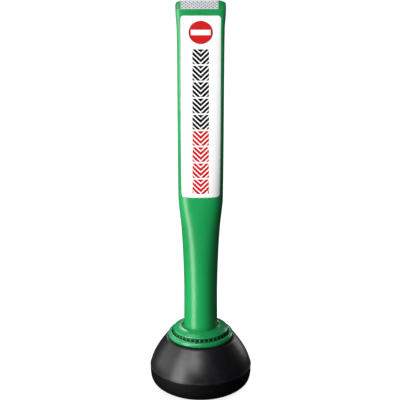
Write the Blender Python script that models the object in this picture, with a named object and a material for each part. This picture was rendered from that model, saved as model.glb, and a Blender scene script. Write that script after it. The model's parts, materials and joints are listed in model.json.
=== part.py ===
"""Delineator post: a hollow green sign post locked into a round weighted base by a cam collar.

The origin is the middle of the footprint on the floor, +Z is up and the front label faces -Y.
Sizes below are in millimetres and are multiplied by MM where a mesh is made.
"""

import math

import bmesh
import bpy
import numpy as np

MM = 0.001
GAP = 0.3                      # clearance between pieces that touch
SEGMENTS = 40                  # facets round every turned piece
PIN_SEGMENTS = 12
OVERCUT = 4.0                  # how far a cutter runs past what it cuts

# Post: half width, half depth and squareness (superellipse exponent) at each height
POST_SECTIONS = (
    (200.0, 42.8, 42.8, 2.0),
    (275.0, 42.6, 42.5, 2.0),
    (340.0, 44.1, 42.3, 2.05),
    (405.0, 46.8, 42.0, 2.15),
    (450.0, 49.8, 41.4, 2.35),
    (500.0, 55.0, 40.0, 2.7),
    (520.0, 56.7, 39.2, 2.9),
    (545.0, 57.1, 38.3, 3.1),
    (650.0, 57.9, 34.2, 4.3),
    (800.0, 58.6, 31.0, 5.4),
    (900.0, 59.1, 29.3, 6.0),
    (950.0, 59.6, 29.0, 6.2),
    (992.0, 60.6, 29.0, 6.4),
    (1012.0, 62.2, 29.0, 6.6),
    (1036.0, 63.3, 29.0, 6.8),
)
ROOF_EDGE_Z = 1036.0           # where the front and back faces meet the roof
RIDGE_Z = 1050.0
ROOF_STEPS = 4
ROOF_CORNER = 13.5             # how far the ridge's ends are rounded in
ROOF_CORNER_CURVE = 2.5        # power of the height up the roof that the rounding follows
RIDGE_HALF_DEPTH = 1.2
POST_WALL = 3.0
TUBE_R = 43.0
TUBE_BOTTOM_Z = 16.0
HEAD_CAVITY_TOP_Z = 1031.0
TUBE_BEAD = (44.7, 166.9, 168.0)   # radius, bottom and top of the small bead above the collar

# Labels, each a flat sheet let into a shallow recess
LABEL_WIDTH = 100.0
LABEL_BOTTOM_Z = 540.0
LABEL_TOP_Z = 1020.0
LABEL_CORNER = 8.0
LABEL_THICKNESS = 0.5
RECESS_DEPTH = 0.8
RECESS_MARGIN = 0.5
SHEET_ROWS = 13
ROW_CROWDING = 1.5             # above 1, a sheet's rows crowd towards its curved lower end
FACE_SHARE = 0.97              # share of the half width over which a sheet can be laid

# Reflective tape on both slopes of the roof
TAPE_HALF_WIDTH = 46.5
TAPE_SHIFT = -3.0              # stuck on a little off centre, seen from the front
TAPE_THICKNESS = 0.4
TAPE_SPAN = (0.06, 0.94)       # share of the slope that the tape covers

# Base
BASE_OUTLINE = (
    (102.0, 0.0),
    (117.3, 10.0),
    (126.0, 20.0),
    (130.0, 33.0),
    (131.0, 48.0),
    (129.7, 64.0),
    (123.0, 85.0),
    (109.6, 110.0),
    (89.5, 139.0),
)
TRAY_BOTTOM_Z = 1.5
TRAY_TOP_Z = 55.7
COVER_BOTTOM_Z = 56.2
COVER_HEM_Z = 60.6
HEM_PROUD = 0.8
COVER_TOP_Z = 138.2
SHELL_WALL = 3.5
COVER_MOUTH_R = 77.6
TRAY_FLOOR_Z = 6.5
TRAY_PAD_R = 62.5              # thick middle of the tray, under the socket
TRAY_PAD_Z = 9.2
DRAIN_R = 12.0
FOOT_RING_R = (84.0, 98.0)
FOOT_CHAMFER = 0.8
FOOT_SEAT_DEPTH = 2.5
BALLAST_BORE_R = 66.5
BALLAST_TOP_Z = 48.0
SLEEVE_BORE_R = 43.8
SLEEVE_FLANGE_Z = 13.3
SLEEVE_TOP_Z = 117.5
SEAT_PAD_R = (22.0, 43.4)
KEY_HALF_WIDTH = 3.0           # guide key between sleeve and tube
KEY_R = (38.0, 43.4)
KEY_Z = (20.0, 100.0)

# Fixed ring on the base, and the cam grooves inside it
RING_BORE_R = 69.0
RING_BOTTOM_Z = 118.0
RING_SEAT_Z = 139.6
RING_TOP_Z = 152.7
SEAL_R = (78.4, 84.6)
GROOVE_R = 74.2
MOUTH_R = 73.9                 # of the way out at the top of each groove

# Lock collar: three lugs climb the cam grooves, so it lifts as it turns
COLLAR_TURN = 60.0             # degrees from locked to free
COLLAR_LIFT = 12.0
LUG_COUNT = 3
LUG_R = 73.0
LUG_HALF_ANGLE = 5.5
LUG_HALF_HEIGHT = 3.0
LUG_Z = 136.0
GROOVE_PLAY = 0.6
GROOVE_PLAY_ANGLE = 1.0
SKIRT_R = 67.5
TOOTH_COUNT = 36
TOOTH_R = (68.8, 70.3)
TOOTH_Z = (149.6, 157.5)
MARK_AZIMUTH = -97.5           # both alignment marks sit just left of the front
ARROW_HALF_ANGLE = 2.6
ARROW_Z = (150.4, 156.8)
ARROW_THICKNESS = 0.5
DOT_CIRCLE_R = 80.2
DOT_R = 2.3
DETENT_R = (71.1, 72.4)
DETENT_AZIMUTHS = (82.0, 98.0)
DETENT_Z = (150.6, 156.0)
WASHER_R = (44.0, 54.5)
WASHER_Z = (161.5, 162.7)
THRUST_RING_R = 54.0
THRUST_RING_Z = (151.0, 161.2)

# Fasteners
BOLT_COUNT = 4
BOLT_CIRCLE_R = 73.0
BOLT_R = 2.5
BOLT_HEAD_R = 5.2
BOLT_SEAT_Z = 3.6
BOLT_TOP_Z = 125.0
SLEEVE_SCREW_COUNT = 3
SLEEVE_SCREW_CIRCLE_R = 56.0
SLEEVE_SCREW_TIP_Z = 4.5
SCREW_R = 2.0
SCREW_HEAD_R = 3.4
SCREW_HEAD_HEIGHT = 2.3
THRUST_SCREW_COUNT = 3
THRUST_SCREW_Z = 156.0

COLOURS = {
    # name: (base colour, roughness, metallic)
    "green_plastic": ((0.012, 0.34, 0.10), 0.30, 0.0),
    "black_plastic": ((0.012, 0.012, 0.013), 0.35, 0.0),
    "rubber": ((0.010, 0.010, 0.010), 0.85, 0.0),
    "concrete": ((0.36, 0.35, 0.33), 0.9, 0.0),
    "steel": ((0.55, 0.56, 0.58), 0.35, 1.0),
    "white_label": ((0.86, 0.86, 0.86), 0.45, 0.0),
    "reflective_tape": ((0.55, 0.57, 0.62), 0.35, 0.2),
    "white_plastic": ((0.75, 0.75, 0.72), 0.5, 0.0),
    "mark_black": ((0.004, 0.012, 0.006), 0.6, 0.0),
}


# ---------------------------------------------------------------- helpers

def clear_scene():
    for obj in list(bpy.data.objects):
        bpy.data.objects.remove(obj, do_unlink=True)


def material(name):
    found = bpy.data.materials.get(name)
    if found:
        return found
    colour, roughness, metallic = COLOURS[name]
    made = bpy.data.materials.new(name)
    made.use_nodes = True
    shader = made.node_tree.nodes["Principled BSDF"]
    shader.inputs["Base Color"].default_value = (*colour, 1.0)
    shader.inputs["Roughness"].default_value = roughness
    shader.inputs["Metallic"].default_value = metallic
    return made


def finish(bm, name, finish_name, parent=None):
    """Turn a bmesh in millimetres into a named object in metres."""
    bmesh.ops.scale(bm, vec=(MM, MM, MM), verts=bm.verts)
    bmesh.ops.recalc_face_normals(bm, faces=bm.faces)
    mesh = bpy.data.meshes.new(name)
    bm.to_mesh(mesh)
    bm.free()
    mesh.shade_smooth()
    mesh.set_sharp_from_angle(angle=math.radians(35))
    mesh.materials.append(material(finish_name))
    obj = bpy.data.objects.new(name, mesh)
    bpy.context.scene.collection.objects.link(obj)
    obj.parent = parent
    return obj


def bridge(bm, lower, upper):
    """Join two rings of as many vertices with a band of quads."""
    count = len(lower)
    for i in range(count):
        j = (i + 1) % count
        bm.faces.new((lower[i], lower[j], upper[j], upper[i]))


def rings_to_solid(bm, rings, closed):
    for lower, upper in zip(rings, rings[1:]):
        bridge(bm, lower, upper)
    if closed:
        bridge(bm, rings[-1], rings[0])


def ring_points(radius, count):
    for i in range(count):
        angle = 2 * math.pi * i / count
        yield radius * math.cos(angle), radius * math.sin(angle)


def lathe(name, outline, finish_name, parent=None, segments=SEGMENTS):
    """Turn a closed (radius, height) outline into a ring-shaped solid."""
    bm = bmesh.new()
    rings = []
    for radius, z in outline:
        rings.append([bm.verts.new((x, y, z)) for x, y in ring_points(radius, segments)])
    rings_to_solid(bm, rings, closed=True)
    return finish(bm, name, finish_name, parent)


def pin(name, steps, finish_name, at=(0.0, 0.0, 0.0), azimuth=None, parent=None):
    """Solid round pin from (radius, height) steps, upright, or pointing outwards along an azimuth."""
    bm = bmesh.new()
    rings = []
    for radius, z in steps:
        rings.append([bm.verts.new((x, y, z)) for x, y in ring_points(radius, PIN_SEGMENTS)])
    rings_to_solid(bm, rings, closed=False)
    bm.faces.new(rings[0])
    bm.faces.new(rings[-1])
    obj = finish(bm, name, finish_name, parent)
    if azimuth is not None:
        obj.rotation_euler = (0.0, math.radians(90), math.radians(azimuth))
    obj.location = [value * MM for value in at]
    return obj


def polar(radius, azimuth, z=0.0):
    angle = math.radians(azimuth)
    return (radius * math.cos(angle), radius * math.sin(angle), z)


def spaced(count, start=0.0):
    """Evenly spaced azimuths in degrees."""
    return [start + 360.0 * i / count for i in range(count)]


def arc_block(name, radii, azimuths, z_low, z_high, finish_name, parent=None, steps=4):
    """Block bent round the axis; z_low and z_high are functions of azimuth in degrees."""
    bm = bmesh.new()
    rings = []
    for i in range(steps + 1):
        azimuth = azimuths[0] + (azimuths[1] - azimuths[0]) * i / steps
        low = z_low(azimuth)
        high = z_high(azimuth)
        corners = ((radii[0], low), (radii[1], low), (radii[1], high), (radii[0], high))
        rings.append([bm.verts.new(polar(r, azimuth, z)) for r, z in corners])
    rings_to_solid(bm, rings, closed=False)
    bm.faces.new(rings[0])
    bm.faces.new(rings[-1])
    return finish(bm, name, finish_name, parent)


def combine(target, tool, operation):
    """Cut or join target with a hidden tool object."""
    tool.hide_render = True
    tool.display_type = "WIRE"
    modifier = target.modifiers.new(tool.name, "BOOLEAN")
    modifier.operation = operation
    modifier.object = tool
    return modifier


def drill(target, radius, z_from, z_to, places):
    """Cut upright round holes at the places given as (x, y)."""
    for i, (x, y) in enumerate(places):
        name = f"cut_{target.name}_{radius:g}_{z_from:g}_{i}"
        tool = pin(name, ((radius, z_from), (radius, z_to)), "steel", (x, y, 0.0))
        combine(target, tool, "DIFFERENCE")


def smooth_curve(knots, per_span):
    """Catmull-Rom curve through 2-D knots."""
    points = [np.array(k, float) for k in knots]
    ends = [2 * points[0] - points[1], *points, 2 * points[-1] - points[-2]]
    curve = []
    for i in range(1, len(ends) - 2):
        a, b, c, d = ends[i - 1:i + 3]
        for step in range(per_span):
            t = step / per_span
            curve.append(0.5 * (2 * b + (c - a) * t + (2 * a - 5 * b + 4 * c - d) * t ** 2
                                + (3 * b - a - 3 * c + d) * t ** 3))
    curve.append(points[-1])
    return [(float(r), float(z)) for r, z in curve]


def base_radius(z):
    """Outer radius of the base at a height."""
    curve = smooth_curve(BASE_OUTLINE, 12)
    return float(np.interp(z, [p[1] for p in curve], [p[0] for p in curve]))


def base_wall(heights, inset):
    """Points of the base's outline, moved inwards along its normal."""
    points = []
    for z in heights:
        slope = (base_radius(z + 0.5) - base_radius(z - 0.5))
        length = math.hypot(1.0, slope)
        points.append((base_radius(z) - inset / length, z + inset * slope / length))
    return points


# ---------------------------------------------------------------- post

def post_section(z):
    """Half width, half depth and exponent at a height, smoothly blended between the stations."""
    stations = np.array(POST_SECTIONS)
    heights = stations[:, 0]
    z = min(max(z, heights[0]), heights[-1])
    i = min(int(np.searchsorted(heights, z, side="right")) - 1, len(heights) - 2)
    slopes = np.gradient(stations[:, 1:], heights, axis=0)
    slopes[0] = 0.0
    span = heights[i + 1] - heights[i]
    t = (z - heights[i]) / span
    start = (1 + 2 * t) * (1 - t) ** 2
    end = t * t * (3 - 2 * t)
    leave = t * (1 - t) ** 2 * span
    arrive = t * t * (t - 1) * span
    return (start * stations[i, 1:] + end * stations[i + 1, 1:]
            + leave * slopes[i] + arrive * slopes[i + 1])


def superellipse(half_width, half_depth, exponent, count=SEGMENTS):
    for i in range(count):
        angle = 2 * math.pi * i / count
        cos, sin = math.cos(angle), math.sin(angle)
        x = half_width * math.copysign(abs(cos) ** (2 / exponent), cos)
        y = half_depth * math.copysign(abs(sin) ** (2 / exponent), sin)
        yield (0.0 if abs(cos) < 1e-9 else x), (0.0 if abs(sin) < 1e-9 else y)


def post_ring(bm, z, inset=0.0):
    half_width, half_depth, exponent = post_section(z)
    shape = superellipse(half_width - inset, half_depth - inset, exponent)
    return [bm.verts.new((x, y, z)) for x, y in shape]


def roof_ring(bm, share):
    """Ring on the roof: share 0 is its edge and 1 is the ridge."""
    half_width, half_depth, exponent = post_section(ROOF_EDGE_Z)
    z = ROOF_EDGE_Z + (RIDGE_Z - ROOF_EDGE_Z) * share
    corner = ROOF_CORNER * share ** ROOF_CORNER_CURVE
    depth = half_depth + (RIDGE_HALF_DEPTH - half_depth) * share
    shape = superellipse(half_width - corner, depth, exponent)
    return [bm.verts.new((x, y, z)) for x, y in shape]


def cap_across(bm, ring):
    """Close a ring with strips between its front and back halves."""
    count = len(ring)
    half = count // 2
    for i in range(half):
        quad = [ring[i], ring[i + 1], ring[(count - i - 1) % count], ring[(count - i) % count]]
        unique = list(dict.fromkeys(quad))
        bm.faces.new(unique)


def face_normal(x, z):
    """Point on the front face, as depth, and its outward normal in plan."""
    half_width, half_depth, exponent = post_section(z)
    share = min(abs(x) / half_width, 0.999)
    depth = half_depth * (1 - share ** exponent) ** (1 / exponent)
    steep = (half_depth / half_width) * share ** (exponent - 1)
    steep *= (1 - share ** exponent) ** (1 / exponent - 1)
    length = math.hypot(steep, 1.0)
    return depth, math.copysign(steep / length, x), 1.0 / length


def face_x(along, z):
    """Where a sheet wrapped on the face comes to, a distance along it from the middle line."""
    xs = np.linspace(0.0, post_section(z)[0] * FACE_SHARE, 60)
    depths = np.array([face_normal(x, z)[0] for x in xs])
    lengths = np.concatenate(([0.0], np.cumsum(np.hypot(np.diff(xs), np.diff(depths)))))
    return math.copysign(float(np.interp(abs(along), lengths, xs)), along)


def label_columns(half_width, corner):
    """Distances across a rounded sheet, close together where its corners turn."""
    turns = [corner * (1 - math.cos(math.radians(a))) for a in (0, 25, 50, 70, 90)]
    side = [half_width - t for t in turns]
    flat = half_width - corner
    return [-s for s in side] + [-flat / 2, 0.0, flat / 2] + side[::-1]


def label_sheet(name, facing, margin, offsets, finish_name, parent=None):
    """Rounded sheet that lies on the front (facing -1) or back (+1) face of the head."""
    half_width = LABEL_WIDTH / 2 + margin
    corner = LABEL_CORNER + margin
    bm = bmesh.new()
    layers = []
    for offset in offsets:
        layer = []
        for along in label_columns(half_width, corner):
            into = max(0.0, abs(along) - (half_width - corner))
            drop = corner - math.sqrt(max(0.0, corner ** 2 - into ** 2))
            low = LABEL_BOTTOM_Z - margin + drop
            high = LABEL_TOP_Z + margin - drop
            column = []
            for row in range(SHEET_ROWS):
                z = low + (high - low) * (row / (SHEET_ROWS - 1)) ** ROW_CROWDING
                x = face_x(along, z)
                depth, nx, ny = face_normal(x, z)
                column.append(bm.verts.new((x + offset * nx, facing * (depth + offset * ny), z)))
            layer.append(column)
        layers.append(layer)
    columns = len(layers[0])
    for layer in layers:
        for c in range(columns - 1):
            for r in range(SHEET_ROWS - 1):
                near, right = layer[c][r], layer[c + 1][r]
                far, above = layer[c + 1][r + 1], layer[c][r + 1]
                bm.faces.new((near, right, far))
                bm.faces.new((near, far, above))
    last = SHEET_ROWS - 1
    edge = [(c, 0) for c in range(columns)] + [(columns - 1, r) for r in range(1, last + 1)]
    edge += [(c, last) for c in range(columns - 2, -1, -1)] + [(0, r) for r in range(last - 1, 0, -1)]
    inner = [layers[0][c][r] for c, r in edge]
    outer = [layers[1][c][r] for c, r in edge]
    bridge(bm, inner, outer)
    return finish(bm, name, finish_name, parent)


def make_post_shell(parent):
    bm = bmesh.new()
    rings = []
    for step in range(ROOF_STEPS, 0, -1):
        rings.append(roof_ring(bm, math.sin(math.radians(90 * step / ROOF_STEPS))))
    cap_across(bm, rings[0])
    outer_heights = (1036, 1020, 1004, 988, 950, 860, 760, 660, 600, 562, 542, 526, 510, 492, 472, 450,
                     425, 395, 360, 325, 275, 200)
    for z in outer_heights:
        rings.append(post_ring(bm, z))
    bead_r, bead_low, bead_high = TUBE_BEAD
    tube_outline = ((TUBE_R, bead_high + 4.0), (TUBE_R, bead_high + 0.6), (bead_r, bead_high),
                    (bead_r, bead_low), (TUBE_R, bead_low - 0.3), (TUBE_R, TUBE_BOTTOM_Z + 1.0),
                    (TUBE_R - 1.0, TUBE_BOTTOM_Z), (TUBE_R - POST_WALL, TUBE_BOTTOM_Z))
    for radius, z in tube_outline:
        rings.append([bm.verts.new((x, y, z)) for x, y in ring_points(radius, SEGMENTS)])
    for z in (200, 330, 430, 500, 560, 700, 900, HEAD_CAVITY_TOP_Z):
        rings.append(post_ring(bm, z, inset=POST_WALL))
    rings_to_solid(bm, rings, closed=False)
    cap_across(bm, rings[-1])
    shell = finish(bm, "post_shell", "green_plastic", parent)
    for side, facing in (("front", -1), ("back", 1)):
        recess = label_sheet(f"cut_recess_{side}", facing, RECESS_MARGIN, (-RECESS_DEPTH, OVERCUT / 2), "steel")
        combine(shell, recess, "DIFFERENCE")
    return shell


def cut_post_shell(shell):
    """Screw holes under the collar, and the keyway that stops the post turning in its socket."""
    inside, outside = TUBE_R - POST_WALL - OVERCUT, TUBE_R + OVERCUT
    for azimuth in spaced(THRUST_SCREW_COUNT, 30):
        hole = pin(f"cut_post_hole_{azimuth:g}", ((SCREW_R + GAP, inside), (SCREW_R + GAP, outside)), "steel",
                   (0, 0, THRUST_SCREW_Z), azimuth)
        combine(shell, hole, "DIFFERENCE")
    half_width = KEY_HALF_WIDTH + 2 * GAP
    keyway = box("cut_keyway", (-half_width, inside, TUBE_BOTTOM_Z - OVERCUT),
                 (half_width, outside, KEY_Z[1] + OVERCUT), "steel")
    combine(shell, keyway, "DIFFERENCE")


def box(name, low, high, finish_name, parent=None):
    bm = bmesh.new()
    rings = []
    for z in (low[2], high[2]):
        corners = ((low[0], low[1]), (high[0], low[1]), (high[0], high[1]), (low[0], high[1]))
        rings.append([bm.verts.new((x, y, z)) for x, y in corners])
    rings_to_solid(bm, rings, closed=False)
    bm.faces.new(rings[0])
    bm.faces.new(rings[1])
    return finish(bm, name, finish_name, parent)


def make_labels(parent):
    offsets = (GAP - RECESS_DEPTH, GAP - RECESS_DEPTH + LABEL_THICKNESS)
    for side, facing in (("front", -1), ("back", 1)):
        label_sheet(f"label_{side}", facing, 0.0, offsets, "white_label", parent)


def make_reflective_tapes(parent):
    half_depth = post_section(ROOF_EDGE_Z)[1]
    run = half_depth - RIDGE_HALF_DEPTH
    rise = RIDGE_Z - ROOF_EDGE_Z
    length = math.hypot(run, rise)
    for side, facing in (("front", -1), ("back", 1)):
        bm = bmesh.new()
        rings = []
        middle = -facing * TAPE_SHIFT
        for x in (middle - TAPE_HALF_WIDTH, middle + TAPE_HALF_WIDTH):
            ring = []
            for share, offset in ((TAPE_SPAN[0], GAP), (TAPE_SPAN[1], GAP),
                                  (TAPE_SPAN[1], GAP + TAPE_THICKNESS), (TAPE_SPAN[0], GAP + TAPE_THICKNESS)):
                depth = half_depth - run * share + offset * rise / length
                z = ROOF_EDGE_Z + rise * share + offset * run / length
                ring.append(bm.verts.new((x, facing * depth, z)))
            rings.append(ring)
        rings_to_solid(bm, rings, closed=False)
        bm.faces.new(rings[0])
        bm.faces.new(rings[1])
        finish(bm, f"reflective_tape_{side}", "reflective_tape", parent)


def screw_head(seat):
    """(radius, height) steps of a screw's head that rests on a seat."""
    top = seat + SCREW_HEAD_HEIGHT
    return (SCREW_R, seat), (SCREW_HEAD_R, seat), (SCREW_HEAD_R - 0.2, top - 0.4), (SCREW_HEAD_R - 2.1, top)


def make_thrust_ring(parent):
    """Ring screwed to the tube under the collar's top plate, so the two move together."""
    bore = TUBE_R + GAP
    low, high = THRUST_RING_Z
    ring = lathe("thrust_ring", ((bore, low), (THRUST_RING_R, low), (THRUST_RING_R, high), (bore, high)),
                 "black_plastic", parent)
    for i, azimuth in enumerate(spaced(THRUST_SCREW_COUNT, 30), 1):
        hole_ends = (bore - OVERCUT, THRUST_RING_R + OVERCUT)
        hole = pin(f"cut_thrust_hole_{i}", [(SCREW_R + GAP, end) for end in hole_ends], "steel",
                   (0, 0, THRUST_SCREW_Z), azimuth)
        combine(ring, hole, "DIFFERENCE")
        tip = TUBE_R - POST_WALL - 2.0
        steps = ((SCREW_R, tip), *screw_head(THRUST_RING_R + GAP))
        pin(f"thrust_ring_screw_{i}", steps, "steel", (0, 0, THRUST_SCREW_Z), azimuth, parent)


def make_glide_washer(parent):
    (bore, rim), (low, high) = WASHER_R, WASHER_Z
    lathe("glide_washer", ((bore, low), (rim, low), (rim, high), (bore, high)), "white_plastic", parent)


# ---------------------------------------------------------------- lock collar

def cam_height(azimuth, start):
    """Height of a cam groove's middle, which climbs from its start azimuth."""
    return LUG_Z + COLLAR_LIFT * (azimuth - start) / COLLAR_TURN


def make_lock_collar(parent):
    outline = (
        (47.4, 165.4), (47.6, 168.4), (49.2, 170.2), (53.0, 170.3), (58.0, 169.0), (63.5, 167.0),
        (68.0, 164.6), (70.4, 162.4), (71.0, 160.4), (70.3, 158.9), (68.6, 158.1), (SKIRT_R, 158.0),
        (SKIRT_R, 128.0), (66.5, 127.0), (59.5, 127.0), (58.5, 128.0), (58.5, 159.0), (55.5, 163.0),
        (43.9, 163.0), (43.9, 165.4),
    )
    collar = lathe("lock_collar", outline, "green_plastic", parent)
    for i, start in enumerate(spaced(LUG_COUNT), 1):
        lug = arc_block(f"join_lug_{i}", (SKIRT_R - 3.0, LUG_R),
                        (start - LUG_HALF_ANGLE, start + LUG_HALF_ANGLE),
                        lambda a: cam_height(a, start) - LUG_HALF_HEIGHT,
                        lambda a: cam_height(a, start) + LUG_HALF_HEIGHT, "green_plastic")
        combine(collar, lug, "UNION")
    return collar


def make_ratchet_ring(parent):
    """Toothed ring on the collar's skirt, which clicks past the detent spring."""
    bore = SKIRT_R + GAP
    bm = bmesh.new()
    rings = []
    for radii, z in ((TOOTH_R, TOOTH_Z[0]), (TOOTH_R, TOOTH_Z[1]), ((bore, bore), TOOTH_Z[1]),
                     ((bore, bore), TOOTH_Z[0])):
        ring = []
        for azimuth in spaced(TOOTH_COUNT):
            for turn, level in ((0.0, 0), (4.8, 0), (5.6, 1), (9.2, 1)):
                ring.append(bm.verts.new(polar(radii[level], azimuth + turn, z)))
        rings.append(ring)
    rings_to_solid(bm, rings, closed=True)
    return finish(bm, "ratchet_ring", "green_plastic", parent)


def make_index_arrow(parent):
    """Small dark triangle that points down at the dot on the fixed ring."""
    bm = bmesh.new()
    rings = []
    for radius in (TOOTH_R[1] + GAP, TOOTH_R[1] + GAP + ARROW_THICKNESS):
        corners = ((-ARROW_HALF_ANGLE, ARROW_Z[1]), (ARROW_HALF_ANGLE, ARROW_Z[1]), (0.0, ARROW_Z[0]))
        rings.append([bm.verts.new(polar(radius, MARK_AZIMUTH + turn, z)) for turn, z in corners])
    rings_to_solid(bm, rings, closed=False)
    bm.faces.new(rings[0])
    bm.faces.new(rings[1])
    return finish(bm, "index_arrow", "mark_black", parent)


# ---------------------------------------------------------------- base

def make_base_ring():
    outline = (
        (77.0, RING_SEAT_Z), (82.2, 140.0), (83.9, 142.3), (84.3, 145.4), (83.4, 148.9), (81.0, 151.7),
        (77.9, RING_TOP_Z), (75.3, 152.2), (74.5, 151.3), (RING_BORE_R, 147.4), (RING_BORE_R, 119.0),
        (RING_BORE_R + 1, RING_BOTTOM_Z), (76.0, RING_BOTTOM_Z), (77.0, 119.0),
    )
    ring = lathe("base_ring", outline, "green_plastic")
    half_height = LUG_HALF_HEIGHT + GROOVE_PLAY
    half_angle = LUG_HALF_ANGLE + GROOVE_PLAY_ANGLE
    inside = RING_BORE_R - OVERCUT
    for i, start in enumerate(spaced(LUG_COUNT), 1):
        end = start + COLLAR_TURN
        groove = arc_block(f"cut_groove_{i}", (inside, GROOVE_R), (start - half_angle, end + half_angle),
                           lambda a: cam_height(a, start) - half_height,
                           lambda a: cam_height(a, start) + half_height, "steel", steps=12)
        mouth = arc_block(f"cut_mouth_{i}", (inside, MOUTH_R), (end - half_angle + 0.2, end + half_angle - 0.2),
                          lambda a: cam_height(a, start) - 1.0, lambda a: RING_TOP_Z + OVERCUT, "steel")
        combine(ring, groove, "DIFFERENCE")
        combine(ring, mouth, "DIFFERENCE")
    drill(ring, BOLT_R + GAP, RING_BOTTOM_Z - OVERCUT, BOLT_TOP_Z + 1, bolt_places())
    drill(ring, DOT_R + GAP, RING_TOP_Z - 2.7, RING_TOP_Z + OVERCUT, [polar(DOT_CIRCLE_R, MARK_AZIMUTH)[:2]])
    return ring


def bolt_places():
    return [polar(BOLT_CIRCLE_R, azimuth)[:2] for azimuth in spaced(BOLT_COUNT, 45)]


def sleeve_screw_places():
    return [polar(SLEEVE_SCREW_CIRCLE_R, azimuth)[:2] for azimuth in spaced(SLEEVE_SCREW_COUNT, 30)]


def make_base_cover():
    heights = (63.0, 74.0, 88.0, 104.0, 120.0, 135.5)
    hem_r = base_radius(COVER_BOTTOM_Z) + HEM_PROUD
    outer = [(hem_r - 0.5, COVER_BOTTOM_Z), (hem_r, COVER_BOTTOM_Z + 0.5), (hem_r - 0.2, COVER_HEM_Z - 0.4),
             (base_radius(COVER_HEM_Z), COVER_HEM_Z)]
    outer += base_wall(heights, 0.0)
    outer += [(base_radius(COVER_TOP_Z) - 1.8, COVER_TOP_Z), (COVER_MOUTH_R, COVER_TOP_Z)]
    inner = [(COVER_MOUTH_R, COVER_TOP_Z - SHELL_WALL)]
    inner += base_wall((134.0, 112.0, 88.0, 66.0), SHELL_WALL)
    inner += [(base_radius(COVER_BOTTOM_Z) - SHELL_WALL, COVER_BOTTOM_Z)]
    return lathe("base_cover", outer + inner, "black_plastic")


def make_base_tray():
    heights = (3.5, 9.0, 17.0, 29.0, 43.0)
    outer = [(base_radius(TRAY_BOTTOM_Z) - 2.0, TRAY_BOTTOM_Z)]
    outer += base_wall(heights, 0.0)
    outer += [(base_radius(TRAY_TOP_Z), TRAY_TOP_Z - 0.6), (base_radius(TRAY_TOP_Z) - 0.8, TRAY_TOP_Z)]
    lip_r = base_radius(TRAY_TOP_Z) - SHELL_WALL - GAP
    inner = [(lip_r, TRAY_TOP_Z), (lip_r - 1.6, TRAY_TOP_Z + 6), (lip_r - 3.6, TRAY_TOP_Z + 6),
             (lip_r - 3.6, TRAY_TOP_Z - 6)]
    inner += base_wall((28.0, 14.0), SHELL_WALL + 1.5)
    inner += [(100.0, TRAY_FLOOR_Z), (TRAY_PAD_R + 1.5, TRAY_FLOOR_Z), (TRAY_PAD_R, TRAY_PAD_Z),
              (DRAIN_R, TRAY_PAD_Z), (DRAIN_R, TRAY_BOTTOM_Z)]
    seat_z = TRAY_BOTTOM_Z + FOOT_SEAT_DEPTH
    seat = [(FOOT_RING_R[0], TRAY_BOTTOM_Z), (FOOT_RING_R[0], seat_z), (FOOT_RING_R[1], seat_z),
            (FOOT_RING_R[1], TRAY_BOTTOM_Z)]
    tray = lathe("base_tray", outer + inner + seat, "black_plastic")
    above = TRAY_PAD_Z + OVERCUT
    drill(tray, BOLT_R + GAP, -OVERCUT, above, bolt_places())
    drill(tray, BOLT_HEAD_R + 0.4, -OVERCUT, BOLT_SEAT_Z, bolt_places())
    drill(tray, SCREW_R + GAP, SLEEVE_SCREW_TIP_Z - 0.5, above, sleeve_screw_places())
    return tray


def make_ballast_ring():
    bottom = TRAY_FLOOR_Z + GAP
    outline = ((BALLAST_BORE_R, bottom), (98.0, bottom), (112.0, 14.5), (118.0, 24.0), (122.0, 46.0),
               (120.0, BALLAST_TOP_Z), (BALLAST_BORE_R, BALLAST_TOP_Z))
    ballast = lathe("ballast_ring", outline, "concrete")
    drill(ballast, BOLT_R + GAP, bottom - OVERCUT, BALLAST_TOP_Z + OVERCUT, bolt_places())
    return ballast


def make_socket_sleeve():
    bottom = TRAY_PAD_Z + GAP
    outline = ((SLEEVE_BORE_R, bottom), (62.0, bottom), (62.0, SLEEVE_FLANGE_Z), (51.5, SLEEVE_FLANGE_Z),
               (49.0, 17.0), (49.0, SLEEVE_TOP_Z - 1.5), (48.0, SLEEVE_TOP_Z), (45.0, SLEEVE_TOP_Z),
               (SLEEVE_BORE_R, SLEEVE_TOP_Z - 1.5))
    sleeve = lathe("socket_sleeve", outline, "black_plastic")
    drill(sleeve, SCREW_R + GAP, bottom - OVERCUT, SLEEVE_FLANGE_Z + OVERCUT, sleeve_screw_places())
    return sleeve


def make_base_fasteners():
    head_top = BOLT_SEAT_Z - GAP
    bolt = ((BOLT_HEAD_R - 0.2, TRAY_BOTTOM_Z - 0.9), (BOLT_HEAD_R, TRAY_BOTTOM_Z - 0.7),
            (BOLT_HEAD_R, head_top), (BOLT_R, head_top), (BOLT_R, BOLT_TOP_Z - 1), (BOLT_R - 0.8, BOLT_TOP_Z))
    for i, (x, y) in enumerate(bolt_places(), 1):
        pin(f"tie_bolt_{i}", bolt, "steel", (x, y, 0.0))
    tip = SLEEVE_SCREW_TIP_Z
    screw = ((SCREW_R - 0.8, tip), (SCREW_R, tip + 1), *screw_head(SLEEVE_FLANGE_Z + GAP))
    for i, (x, y) in enumerate(sleeve_screw_places(), 1):
        pin(f"sleeve_screw_{i}", screw, "steel", (x, y, 0.0))


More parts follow.
